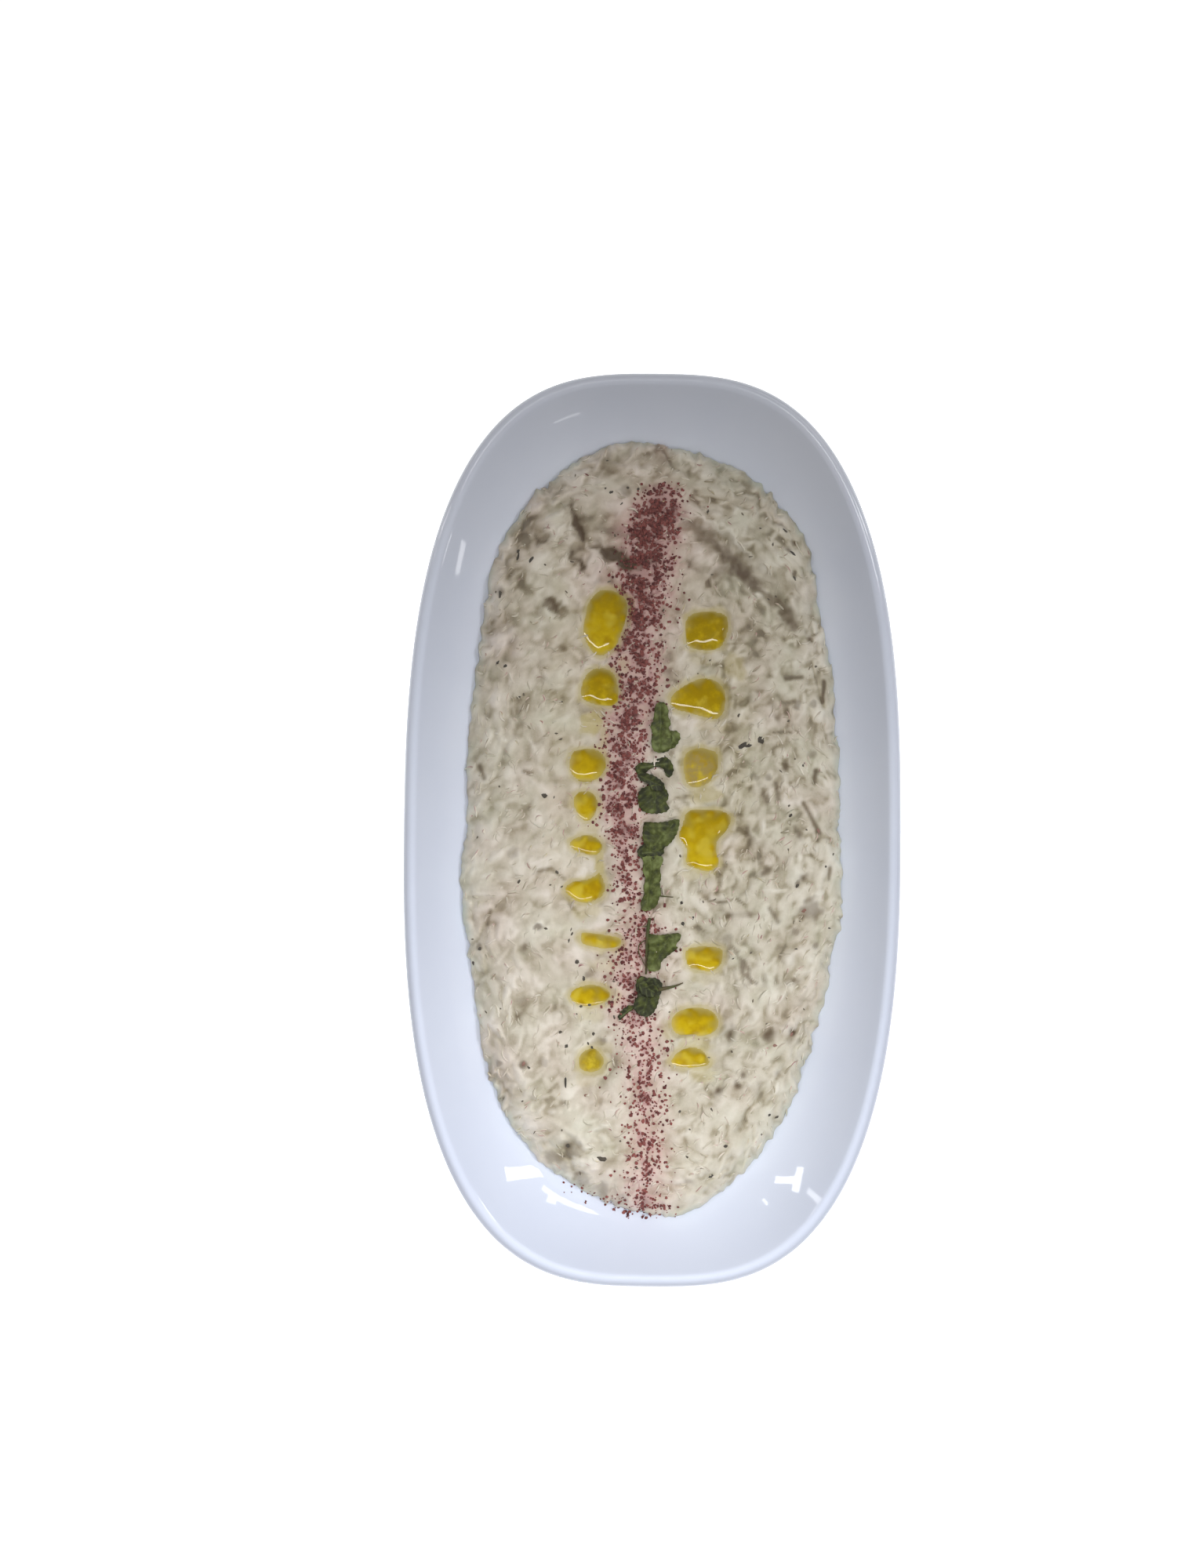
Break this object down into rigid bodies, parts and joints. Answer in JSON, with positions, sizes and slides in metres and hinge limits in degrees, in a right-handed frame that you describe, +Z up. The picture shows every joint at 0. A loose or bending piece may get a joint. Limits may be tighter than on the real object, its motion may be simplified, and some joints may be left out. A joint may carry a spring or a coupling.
{
  "type": "baba ganoush in an oval dish",
  "caption": "Smoky aubergine dip spread in a shallow oval white dish, with olive oil in two rows of hollows, parsley leaves and a line of ground sumac.",
  "frame": {"origin": "on the table under the middle of the dish", "axes": "+Z up; +Y along the dish's length, towards the end with the curved spoon stroke; +X across it, to the right"},
  "size_m": [0.136, 0.25, 0.022],
  "materials": {
    "white_glaze": "gloss",
    "aubergine_dip": "satin",
    "olive_oil": "polished",
    "parsley_green": "satin"
  },
  "bodies": {
    "root": {"dish": "white_glaze", "baba_ganoush": "aubergine_dip", "oil_pool_left_1": "olive_oil", "oil_pool_left_2": "olive_oil", "oil_pool_left_3": "olive_oil", "oil_pool_left_4": "olive_oil", "oil_pool_left_5": "olive_oil", "oil_pool_left_6": "olive_oil", "oil_pool_left_7": "olive_oil", "oil_pool_left_8": "olive_oil", "oil_pool_left_9": "olive_oil", "oil_pool_right_1": "olive_oil", "oil_pool_right_2": "olive_oil", "oil_pool_right_3": "olive_oil", "oil_pool_right_4": "olive_oil", "oil_pool_right_5": "olive_oil", "oil_pool_right_6": "olive_oil", "oil_pool_right_7": "olive_oil", "parsley_1": "parsley_green", "parsley_2": "parsley_green", "parsley_3": "parsley_green", "parsley_4": "parsley_green", "parsley_5": "parsley_green", "parsley_6": "parsley_green"}
  },
  "joints": []
}
